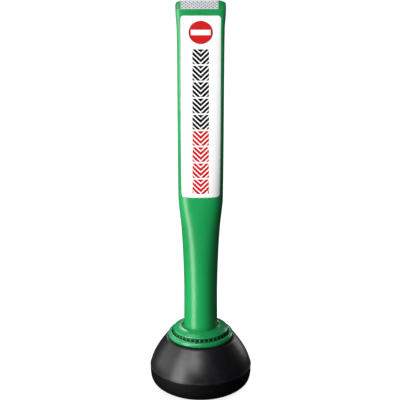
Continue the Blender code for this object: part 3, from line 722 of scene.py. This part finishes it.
def make_ratchet_teeth():
    """Ring of teeth with rounded crests and roots, under the collar's lip, with painted shade: the roots take
    a near-black material.
    """
    bore = SKIRT_R + 0.3
    pitch = 360.0 / TOOTH_COUNT
    bm = bmesh.new()
    levels = [(0.35, TOOTH_Z[0]), (0.0, TOOTH_Z[0] + 0.35), (0.0, TOOTH_Z[1])]
    rings = []
    for inset, z in levels:
        ring = []
        for azimuth in spaced(TOOTH_COUNT * TOOTH_FACETS):
            share = (azimuth % pitch) / pitch
            rise = np.interp(share, TOOTH_SHAPE, (0.0, 1.0, 1.0, 0.0))
            rise = rise * rise * (3 - 2 * rise)
            radius = TOOTH_R[0] + (TOOTH_R[1] - TOOTH_R[0]) * rise - inset
            ring.append(bm.verts.new(polar(radius, azimuth, z)))
        rings.append(ring)
    for z in (TOOTH_Z[1], TOOTH_Z[0]):
        rings.append([bm.verts.new(polar(bore, azimuth, z))
                      for azimuth in spaced(TOOTH_COUNT * TOOTH_FACETS)])
    for lower, upper in zip(rings, rings[1:] + rings[:1]):
        bridge(bm, lower, upper)
    # Painted shade: faces below the crest take the second, near-black material, for the shade in the roots
    # under the collar's lip.
    for face in bm.faces:
        middle = face.calc_center_median()
        face.material_index = int(math.hypot(middle.x, middle.y) < TOOTH_R[1] - TOOTH_PAINTED_SHADE_DEPTH)
    return new_object(bm, "ratchet_teeth")


def make_arrow():
    """Rounded triangle bent round the ratchet ring, pointing down at the dot."""
    radius = TOOTH_R[1] + 0.3
    tip, top = ARROW_Z
    middle = (tip + top) / 2
    outline = rounded([(-ARROW_HALF_WIDTH, top, 0.5), (ARROW_HALF_WIDTH, top, 0.5), (0.0, tip, 0.5)])
    bm = flat_sheet([outline], strip=1.0, row=2.0)
    raise_sheet(bm, 0.0, 0.5)
    for vertex in bm.verts:
        x, offset, z = vertex.co
        vertex.co = polar(radius + offset - 0.08 * abs(z - middle) * offset,
                          MARK_AZIMUTH + math.degrees(x / radius), z)
    return new_object(bm, "index_arrow_mark")


def make_base_ring():
    crest = smooth_curve(((77.0, 139.6), (80.5, 139.7), (82.6, 140.5), (83.9, 142.3), (84.3, 145.4),
                          (83.4, 148.9), (81.0, 151.7), (77.9, 152.7), (75.3, 152.2), (74.3, 151.2)), 5)
    bore = rounded([(74.3, 151.2), (RING_BORE_R, 147.4, 0.8), (RING_BORE_R, 118.0, 1.0), (77.0, 118.0, 1.0),
                    (77.0, 139.6)])
    ring = turned("fixed_ring_body", crest + bore[1:-1])
    half_angle = LUG_HALF_ANGLE + GROOVE_PLAY_ANGLE
    half_height = LUG_HALF_HEIGHT + GROOVE_PLAY
    cuts = []
    for start in spaced(LUG_COUNT):
        end = start + CAM_TURN
        groove = arc_block(f"groove_{start:g}", (RING_BORE_R - 3.0, GROOVE_R),
                           (start - half_angle, end + half_angle),
                           lambda a: cam_height(a, start) - half_height,
                           lambda a: cam_height(a, start) + half_height)
        mouth = arc_block(f"mouth_{start:g}", (RING_BORE_R - 4.0, MOUTH_R),
                          (end - half_angle + 0.2, end + half_angle - 0.2),
                          lambda a: cam_height(a, start) - 1.0, lambda a: 160.0)
        cuts += [("DIFFERENCE", groove), ("DIFFERENCE", mouth)]
    dot = polar(DOT_CIRCLE_R, MARK_AZIMUTH, 0.0)
    cuts.append(("DIFFERENCE", pin("dot_hole", ((2.6, 150.0), (2.6, 151.6), (3.6, 154.0)), dot)))
    for azimuth in spaced(4, 45):
        hole = pin(f"bolt_hole_{azimuth:g}", ((BOLT_BORE_R, 113.0), (BOLT_BORE_R, 126.0)),
                   polar(BOLT_CIRCLE_R, azimuth, 0.0))
        cuts.append(("DIFFERENCE", hole))
    return apply_cuts(ring, cuts)


# ------------------------------ base

def make_cover():
    hem_r = base_radius(COVER_BOTTOM_Z) + HEM_PROUD
    wall = base_wall(np.arange(COVER_HEM_Z + 1.2, COVER_TOP_Z - 1.5, 1.9))
    corners = [(base_radius(COVER_BOTTOM_Z) - SHELL_WALL, COVER_BOTTOM_Z),
               (hem_r, COVER_BOTTOM_Z, 0.7), (hem_r - 0.1, COVER_HEM_Z, 0.7),
               (base_radius(COVER_HEM_Z) + 0.05, COVER_HEM_Z, 0.5), *wall,
               (base_radius(COVER_TOP_Z) - 0.9, COVER_TOP_Z, 1.2), (COVER_MOUTH_R, COVER_TOP_Z, 0.5),
               (COVER_MOUTH_R, COVER_TOP_Z - SHELL_WALL),
               *base_wall(np.arange(132.0, 62.0, -6.0), SHELL_WALL)]
    return turned("cover_shell", rounded(corners))


def make_tray():
    lip_r = base_radius(TRAY_TOP_Z) - SHELL_WALL - 0.3
    wall = base_wall(np.arange(3.0, TRAY_TOP_Z - 1.5, 1.9))
    seat_z = TRAY_BOTTOM_Z + FOOT_SEAT_DEPTH
    corners = [(FOOT_RING_R[1], TRAY_BOTTOM_Z, 0.4), (base_radius(TRAY_BOTTOM_Z) - 1.0, TRAY_BOTTOM_Z, 1.0),
               *wall, (base_radius(TRAY_TOP_Z), TRAY_TOP_Z, 0.7), (lip_r, TRAY_TOP_Z),
               (lip_r - 1.6, TRAY_TOP_Z + 6), (lip_r - 3.6, TRAY_TOP_Z + 6), (lip_r - 3.6, TRAY_TOP_Z - 6),
               *base_wall((28.0, 14.0), SHELL_WALL + 1.5), (100.0, TRAY_FLOOR_Z),
               (TRAY_PAD_R + 1.5, TRAY_FLOOR_Z), (TRAY_PAD_R, TRAY_PAD_Z), (DRAIN_R, TRAY_PAD_Z, 0.5),
               (DRAIN_R, TRAY_BOTTOM_Z, 0.5), (FOOT_RING_R[0], TRAY_BOTTOM_Z, 0.4),
               (FOOT_RING_R[0], seat_z, 0.4), (FOOT_RING_R[1], seat_z, 0.4)]
    tray = turned("tray_shell", rounded(corners))
    cuts = []
    below, above = -2.0, 12.0
    for azimuth in spaced(4, 45):
        at = polar(BOLT_CIRCLE_R, azimuth, 0.0)
        bore = pin(f"bolt_bore_{azimuth:g}", ((BOLT_BORE_R, below), (BOLT_BORE_R, above)), at)
        seat = pin(f"bolt_seat_{azimuth:g}", ((BOLT_SEAT_R, below), (BOLT_SEAT_R, BOLT_SEAT_Z)), at)
        cuts += [("DIFFERENCE", bore), ("DIFFERENCE", seat)]
    for azimuth in spaced(3, 30):
        bore = pin(f"screw_bore_{azimuth:g}", ((SCREW_BORE_R, 4.0), (SCREW_BORE_R, above)),
                   polar(SLEEVE_SCREW_CIRCLE_R, azimuth, 0.0))
        cuts.append(("DIFFERENCE", bore))
    return apply_cuts(tray, cuts)


def make_foot():
    low, high = FOOT_RING_R[0] + 0.3, FOOT_RING_R[1] - 0.3
    top = TRAY_BOTTOM_Z + 2.2
    treads = []
    for i in range(FOOT_TREADS):
        middle = low + (high - low) * (i + 0.5) / FOOT_TREADS
        treads += [(middle - 1.2, 0.0, 0.3), (middle + 1.0, 0.0, 0.3)]
        treads += [(middle + 1.3, 0.7), (middle + 1.7, 0.7)]
    return turned("foot_ring_body", rounded([(low, 0.8), *treads[:-2], (high, 0.8), (high, top, 0.4),
                                             (low, top, 0.4)]))


# ------------------------------ materials

class Finish:
    """A Principled material, with short calls for the textures that give it colour, grain and wear."""

    def __init__(self, name, **sockets):
        self.material = bpy.data.materials.new(name)
        self.material.use_nodes = True
        self.tree = self.material.node_tree
        self.shader = self.tree.nodes["Principled BSDF"]
        self.place = self.tree.nodes.new("ShaderNodeTexCoord").outputs["Object"]
        for socket, value in sockets.items():
            self.shader.inputs[socket.replace("_", " ")].default_value = value

    def node(self, kind, inputs, **settings):
        made = self.tree.nodes.new(kind)
        for setting, value in settings.items():
            setattr(made, setting, value)
        for socket, value in inputs.items():
            if isinstance(value, bpy.types.NodeSocket):
                self.tree.links.new(value, made.inputs[socket])
            else:
                made.inputs[socket].default_value = value
        return made

    def noise(self, size, detail=3.0, stretch=(1.0, 1.0, 1.0)):
        """Noise whose blots are about that many millimetres across."""
        where = self.node("ShaderNodeMapping", {"Vector": self.place, "Scale": stretch}).outputs[0]
        made = self.node("ShaderNodeTexNoise", {"Vector": where, "Scale": 1 / (size * MM), "Detail": detail})
        return made.outputs[0]

    def cells(self, size, feature="F1"):
        made = self.node("ShaderNodeTexVoronoi", {"Vector": self.place, "Scale": 1 / (size * MM)},
                         feature=feature)
        return made.outputs["Distance"]

    def height(self):
        return self.node("ShaderNodeSeparateXYZ", {"Vector": self.place}).outputs["Z"]

    def wear(self):
        return self.node("ShaderNodeAttribute", {}, attribute_name="edge_wear").outputs["Fac"]

    def ramp(self, value, low, high, start=0.0, end=1.0):
        """value smoothly mapped from low..high to start..end."""
        made = self.node("ShaderNodeMapRange", {"Value": value, "From Min": low, "From Max": high,
                                                "To Min": start, "To Max": end},
                         interpolation_type="SMOOTHSTEP")
        return made.outputs["Result"]

    def math(self, operation, first, second):
        return self.node("ShaderNodeMath", {0: first, 1: second}, operation=operation).outputs[0]

    def mix(self, share, first, second):
        """Colour between two others, each a colour or a socket."""
        colours = [c if isinstance(c, bpy.types.NodeSocket) else (*c, 1.0) for c in (first, second)]
        made = self.node("ShaderNodeMix", {0: share, 6: colours[0], 7: colours[1]}, data_type="RGBA")
        return made.outputs[2]

    def connect(self, socket, value):
        self.tree.links.new(value, self.shader.inputs[socket])

    def bump(self, *layers):
        """Relief from (texture, depth in millimetres) layers."""
        normal = None
        for texture, depth in layers:
            inputs = {"Height": texture, "Distance": depth * MM}
            if normal:
                inputs["Normal"] = normal
            normal = self.node("ShaderNodeBump", inputs).outputs[0]
        self.connect("Normal", normal)


def green_plastic(name, base, deep, roughness, peel):
    """Semi-gloss plastic with faint flow marks, hairline scuffs and paler edges."""
    made = Finish(name, Coat_Weight=0.12, Coat_Roughness=0.22)
    flow = made.ramp(made.noise(90.0, 2.0, (1.0, 1.0, 0.45)), 0.35, 0.68)
    hairlines = made.ramp(made.noise(1.6, 2.0, (1.0, 1.0, 0.05)), 0.66, 0.78)
    scuffs = made.math("MULTIPLY", hairlines, made.ramp(made.noise(45.0), 0.48, 0.70))
    rub = made.math("MULTIPLY", made.wear(), made.ramp(made.noise(7.0), 0.40, 0.70))
    worn = made.math("MAXIMUM", made.math("MULTIPLY", scuffs, 0.30), made.math("MULTIPLY", rub, 0.35))
    made.connect("Base Color", made.mix(worn, made.mix(flow, base, deep), GREEN_PALE))
    grain = made.ramp(made.noise(14.0, 4.0), 0.30, 0.75, roughness - 0.03, roughness + 0.05)
    made.connect("Roughness", made.math("ADD", grain, made.math("MULTIPLY", worn, 0.35)))
    made.bump((made.noise(peel, 2.0), 0.030), (made.noise(0.6, 1.0), 0.004), (scuffs, 0.02))
    return made.material


def cover_plastic():
    """Semi-gloss black with a fine moulded grain, dust in its lower part and rubbed edges."""
    made = Finish("cover_black", Coat_Weight=0.10, Coat_Roughness=0.30)
    rub = made.math("MULTIPLY", made.wear(), made.ramp(made.noise(9.0), 0.42, 0.68))
    low = made.ramp(made.height(), 0.105, 0.056)
    dust = made.math("MULTIPLY", low, made.ramp(made.noise(22.0, 5.0), 0.45, 0.80))
    scratches = made.math("MULTIPLY", made.ramp(made.noise(2.2, 2.0, (1.0, 1.0, 0.08)), 0.68, 0.80),
                          made.ramp(made.noise(55.0), 0.50, 0.70))
    pale = made.math("MAXIMUM", made.math("MULTIPLY", dust, 0.055), made.math("MULTIPLY", rub, 0.12))
    pale = made.math("MAXIMUM", pale, made.math("MULTIPLY", scratches, 0.10))
    made.connect("Base Color", made.mix(pale, BLACK, DUST))
    rough = made.ramp(made.noise(18.0, 4.0), 0.30, 0.75, 0.35, 0.43)
    made.connect("Roughness", made.math("ADD", rough, made.math("MULTIPLY", pale, 0.9)))
    made.bump((made.cells(0.9), 0.012), (made.noise(5.0, 2.0), 0.030), (scratches, 0.02))
    return made.material


def tray_plastic():
    """Matt black, coarser and dustier than the cover."""
    made = Finish("tray_black", Specular_IOR_Level=0.10)
    dust = made.ramp(made.noise(16.0, 6.0), 0.50, 0.85, 0.0, 0.015)
    rub = made.math("MULTIPLY", made.wear(), made.ramp(made.noise(8.0), 0.40, 0.70, 0.0, 0.05))
    made.connect("Base Color", made.mix(made.math("MAXIMUM", dust, rub), (0.0025, 0.0022, 0.0025), DUST))
    made.connect("Roughness", made.ramp(made.noise(12.0, 4.0), 0.30, 0.75, 0.56, 0.70))
    made.bump((made.noise(1.3, 4.0), 0.05), (made.cells(2.4), 0.02))
    return made.material


def rubber():
    made = Finish("rubber_black", Specular_IOR_Level=0.3)
    bloom = made.ramp(made.noise(11.0, 5.0), 0.40, 0.80, 0.0, 0.10)
    made.connect("Base Color", made.mix(bloom, (0.010, 0.010, 0.010), (0.10, 0.10, 0.095)))
    made.connect("Roughness", made.ramp(made.noise(4.0), 0.3, 0.7, 0.72, 0.92))
    made.bump((made.noise(0.9, 3.0), 0.04))
    return made.material


def vinyl():
    """Satin white sheet: a trace of yellowing and lint, and a soft calendered grain."""
    made = Finish("label_vinyl", Coat_Weight=0.10, Coat_Roughness=0.35)
    tone = made.ramp(made.noise(75.0, 3.0), 0.35, 0.70)
    specks = made.ramp(made.noise(2.4, 2.0), 0.74, 0.82, 0.0, 0.25)
    made.connect("Base Color", made.mix(specks, made.mix(tone, (0.97, 0.97, 0.97), (0.945, 0.95, 0.945)),
                                        (0.62, 0.61, 0.58)))
    made.connect("Roughness", made.ramp(made.noise(20.0, 4.0), 0.3, 0.7, 0.40, 0.50))
    made.bump((made.noise(3.5, 2.0), 0.010), (made.noise(0.5, 1.0), 0.002))
    return made.material


def ink(name, colour, faded):
    """Screen-printed ink with slightly uneven cover."""
    made = Finish(name, Specular_IOR_Level=0.25)
    cover = made.ramp(made.noise(6.0, 5.0), 0.50, 0.80, 0.0, 0.35)
    made.connect("Base Color", made.mix(cover, colour, faded))
    made.connect("Roughness", made.ramp(made.noise(9.0, 3.0), 0.3, 0.7, 0.38, 0.50))
    made.bump((made.noise(0.7, 2.0), 0.004))
    return made.material


def tape_cell():
    """Bottom of a reflective cell: small prisms in silver, with painted glints that lift them to bluish grey
    where they would catch the light.
    """
    made = Finish("tape_cell", Metallic=0.15, Coat_Weight=0.3, Coat_Roughness=0.15)
    prisms_and_glints = made.cells(0.9)
    tint = made.mix(made.ramp(made.noise(13.0, 2.0), 0.40, 0.62), (0.08, 0.09, 0.17), (0.14, 0.12, 0.20))
    # Painted glints: away from each prism's middle the colour is lifted to pale bluish grey.
    made.connect("Base Color", made.mix(made.ramp(prisms_and_glints, 0.15, 0.55), tint, (0.24, 0.25, 0.34)))
    made.connect("Roughness", made.ramp(made.noise(5.0), 0.3, 0.7, 0.28, 0.42))
    made.bump((prisms_and_glints, 0.10))
    return made.material


def tape_seam():
    made = Finish("tape_seam", Coat_Weight=0.4, Coat_Roughness=0.2)
    grime = made.ramp(made.noise(3.0, 4.0), 0.50, 0.75)
    made.connect("Base Color", made.mix(grime, (0.92, 0.93, 0.96), (0.78, 0.79, 0.84)))
    made.connect("Roughness", made.ramp(made.noise(4.0), 0.3, 0.7, 0.35, 0.50))
    made.bump((made.noise(0.8, 2.0), 0.02))
    return made.material


def mark_and_shade_plastic():
    # Dark plastic for the arrow and the dot, and also the painted shade in the roots of the ratchet teeth.
    made = Finish("mark_and_painted_shade_dark")
    tone = made.ramp(made.noise(2.0, 3.0), 0.4, 0.7)
    made.connect("Base Color", made.mix(tone, (0.003, 0.010, 0.005), (0.008, 0.022, 0.012)))
    made.connect("Roughness", made.ramp(made.noise(1.5), 0.3, 0.7, 0.5, 0.7))
    made.bump((made.noise(0.5, 2.0), 0.02))
    return made.material


def concrete():
    """Cast concrete: grey paste with pale and dark grit, and air holes."""
    made = Finish("ballast_concrete")
    paste = made.mix(made.ramp(made.noise(30.0, 6.0), 0.35, 0.70), (0.30, 0.29, 0.27), (0.42, 0.41, 0.38))
    grit = made.ramp(made.cells(5.0), 0.28, 0.20)
    stones = made.mix(made.noise(8.0), (0.16, 0.15, 0.14), (0.55, 0.53, 0.48))
    made.connect("Base Color", made.mix(grit, paste, stones))
    made.connect("Roughness", made.ramp(made.noise(6.0), 0.3, 0.7, 0.82, 0.95))
    holes = made.ramp(made.cells(3.0), 0.10, 0.22)
    made.bump((made.noise(1.5, 5.0), 0.25), (holes, 0.40))
    return made.material


def steel():
    """Zinc-plated steel with a turned grain and a few dull spots."""
    made = Finish("fastener_steel", Metallic=1.0)
    spots = made.ramp(made.noise(3.0, 5.0), 0.52, 0.75)
    made.connect("Base Color", made.mix(spots, (0.60, 0.61, 0.63), (0.36, 0.35, 0.33)))
    made.connect("Roughness", made.ramp(made.noise(2.0, 3.0), 0.3, 0.75, 0.26, 0.50))
    made.bump((made.noise(0.25, 2.0, (1.0, 1.0, 12.0)), 0.006), (made.noise(1.2), 0.01))
    return made.material


def plain_plastic(name, first, second, roughness):
    """Unpainted moulded plastic for the hidden pieces."""
    made = Finish(name)
    made.connect("Base Color", made.mix(made.ramp(made.noise(24.0, 3.0), 0.35, 0.70), first, second))
    made.connect("Roughness", made.ramp(made.noise(8.0), 0.3, 0.7, roughness - 0.06, roughness + 0.06))
    made.bump((made.noise(1.0, 3.0), 0.02))
    return made.material


def make_finishes():
    return {
        "post_green": green_plastic("post_green", GREEN, GREEN_DEEP, 0.31, 3.2),
        "collar_green": green_plastic("collar_green", (0.011, 0.33, 0.098), (0.008, 0.26, 0.075), 0.27, 5.0),
        "cover_black": cover_plastic(),
        "tray_black": tray_plastic(),
        "rubber_black": rubber(),
        "vinyl": vinyl(),
        "ink_red": ink("ink_red", (0.62, 0.008, 0.009), (0.54, 0.010, 0.012)),
        "ink_dark_red": ink("ink_dark_red", (0.26, 0.008, 0.014), (0.30, 0.012, 0.018)),
        "ink_black": ink("ink_black", (0.003, 0.003, 0.003), (0.009, 0.009, 0.009)),
        "tape_cell": tape_cell(),
        "tape_seam": tape_seam(),
        "mark_black": mark_and_shade_plastic(),
        "ballast_concrete": concrete(),
        "fastener_steel": steel(),
        "inner_black": plain_plastic("inner_black", (0.016, 0.016, 0.017), (0.026, 0.026, 0.027), 0.5),
        "washer_white": plain_plastic("washer_white", (0.76, 0.75, 0.71), (0.68, 0.67, 0.62), 0.42),
    }


# ------------------------------ assembly

def make_pieces(finishes):
    place(make_post_shell(), [finishes["post_green"]], "post", "post_green", "post_shell")
    for side, facing in (("front", -1), ("back", 1)):
        make_label(side, facing, finishes)
        make_tape(side, facing, finishes)
    place(make_lock_collar(), [finishes["collar_green"]], "collar", "collar_green", "lock_collar")
    # The teeth's second material is painted shade in their roots.
    place(make_ratchet_teeth(), [finishes["collar_green"], finishes["mark_black"]], "collar", "collar_green",
          "ratchet_ring")
    place(make_arrow(), [finishes["mark_black"]], "collar", "mark_black", "index_arrow")
    place(make_base_ring(), [finishes["collar_green"]], "base", "collar_green", "base_ring")
    dot = pin("index_dot_mark", ((2.3, 150.3), (2.3, 151.6), (2.1, 152.0), (1.3, 152.25), (0.5, 152.3)),
              polar(DOT_CIRCLE_R, MARK_AZIMUTH, 0.0))
    place(dot, [finishes["mark_black"]], "base", "mark_black", "index_dot")
    place(make_cover(), [finishes["cover_black"]], "base", "cover_black", "base_cover")
    place(make_tray(), [finishes["tray_black"]], "base", "tray_black", "base_tray")
    place(make_foot(), [finishes["rubber_black"]], "base", "rubber_black", "foot_ring")
    seal = turned("ring_seal_body", rounded(SEAL_OUTLINE))
    place(seal, [finishes["rubber_black"]], "base", "rubber_black", "ring_seal")


def finish_cad_nodes(finishes):
    """The hidden pieces keep their CAD meshes and get the material of their slot."""
    slots = {part["node"]: part["material_slot"] for part in frame["record"]["subparts"]}
    for name, node in frame["nodes"].items():
        if node.hide_render:
            continue
        finish = finishes[slots[name]]
        node.data.materials.clear()
        node.data.materials.append(finish)


# ------------------------------ studio

def make_floor():
    """Pale floor that sweeps up into a wall a long way off, all round."""
    profile = [(0.0, 0.0), (1.0, 0.0), (4.0, 0.0), (10.0, 0.0)]
    profile += [(10.0 + 3.0 * math.sin(a), 3.0 - 3.0 * math.cos(a))
                for a in np.linspace(0.1, math.pi / 2, 14)]
    profile.append((13.0, 9.0))
    bm = bmesh.new()
    middle = bm.verts.new((0.0, 0.0, 0.0))
    rings = []
    for radius, z in profile[1:]:
        rings.append([bm.verts.new(polar(radius, azimuth, z)) for azimuth in spaced(96)])
    for i in range(96):
        bm.faces.new((middle, rings[0][i], rings[0][(i + 1) % 96]))
    for lower, upper in zip(rings, rings[1:]):
        bridge(bm, lower, upper)
    bmesh.ops.recalc_face_normals(bm, faces=bm.faces)
    mesh = bpy.data.meshes.new("floor")
    bm.to_mesh(mesh)
    bm.free()
    mesh.shade_smooth()
    floor = bpy.data.objects.new("floor", mesh)
    floor.location.z = -0.0003
    bpy.context.scene.collection.objects.link(floor)
    paint = Finish("floor_pale", Roughness=0.9, Specular_IOR_Level=0.0, Emission_Strength=0.88)
    paint.shader.inputs["Emission Color"].default_value = (1.0, 1.0, 1.0, 1.0)
    paint.connect("Base Color", paint.mix(paint.noise(700.0, 2.0), (0.82, 0.82, 0.82), (0.80, 0.80, 0.80)))
    mesh.materials.append(paint.material)
    floor.visible_diffuse = False
    floor.visible_glossy = False
    floor.visible_shadow = False
    return floor


def soft_light(name, azimuth, distance, z, size, power, aim_z):
    """Area light at an azimuth from the front (negative is left), aimed at the axis."""
    lamp = bpy.data.lights.new(name, "AREA")
    lamp.shape = "RECTANGLE"
    lamp.size, lamp.size_y = size
    lamp.energy = power
    made = bpy.data.objects.new(name, lamp)
    angle = math.radians(azimuth)
    made.location = (distance * math.sin(angle), -distance * math.cos(angle), z)
    made.rotation_euler = (math.radians(90) - math.atan2(z - aim_z, distance), 0.0, angle)
    made.visible_camera = False
    bpy.context.scene.collection.objects.link(made)
    return made


def link_light(made, floor, state):
    """INCLUDE lights only the floor, EXCLUDE lights all but the floor."""
    receivers = bpy.data.collections.new(f"{made.name}_receivers")
    receivers.objects.link(floor)
    made.light_linking.receiver_collection = receivers
    receivers.collection_objects[0].light_linking.link_state = state


def make_studio():
    floor = make_floor()
    lights = (
        soft_light("strip_left", -50, 1.7, 0.45, (0.8, 2.5), 44.0, 0.45),
        soft_light("key_front", -17, 3.2, 2.6, (1.4, 1.4), 66.0, 0.5),
        soft_light("wash_left", -100, 2.4, 0.8, (1.8, 1.8), 17.0, 0.45),
        soft_light("overhead", -115, 0.9, 2.9, (1.1, 1.1), 12.0, 0.3),
        soft_light("fill_right_back", 138, 2.8, 0.9, (0.9, 1.8), 14.0, 0.5),
        soft_light("fill_back", -170, 3.0, 2.6, (1.2, 1.2), 34.0, 0.5),
    )
    for made in lights:
        link_light(made, floor, "EXCLUDE")
    overhead = soft_light("floor_light", 0, 0.0, 5.0, (9.0, 9.0), 190.0, 0.0)
    overhead.rotation_euler = (0.0, 0.0, 0.0)
    link_light(overhead, floor, "INCLUDE")
    world = bpy.data.worlds.new("studio")
    world.use_nodes = True
    world.node_tree.nodes["Background"].inputs["Color"].default_value = (0.035, 0.036, 0.04, 1.0)
    bpy.context.scene.world = world
    bpy.context.scene.view_settings.view_transform = "Standard"


def make_camera():
    lens = bpy.data.cameras.new("camera")
    lens.lens = 227.85
    lens.sensor_width = 36.0
    lens.clip_end = 60.0
    camera = bpy.data.objects.new("camera", lens)
    camera.location = (-0.0018, -6.0, 2.92)
    camera.rotation_euler = (math.radians(90 - 21.815), 0.0, 0.0)
    bpy.context.scene.collection.objects.link(camera)
    bpy.context.scene.camera = camera


make_camera()
finishes = make_finishes()
make_pieces(finishes)
finish_cad_nodes(finishes)
make_studio()
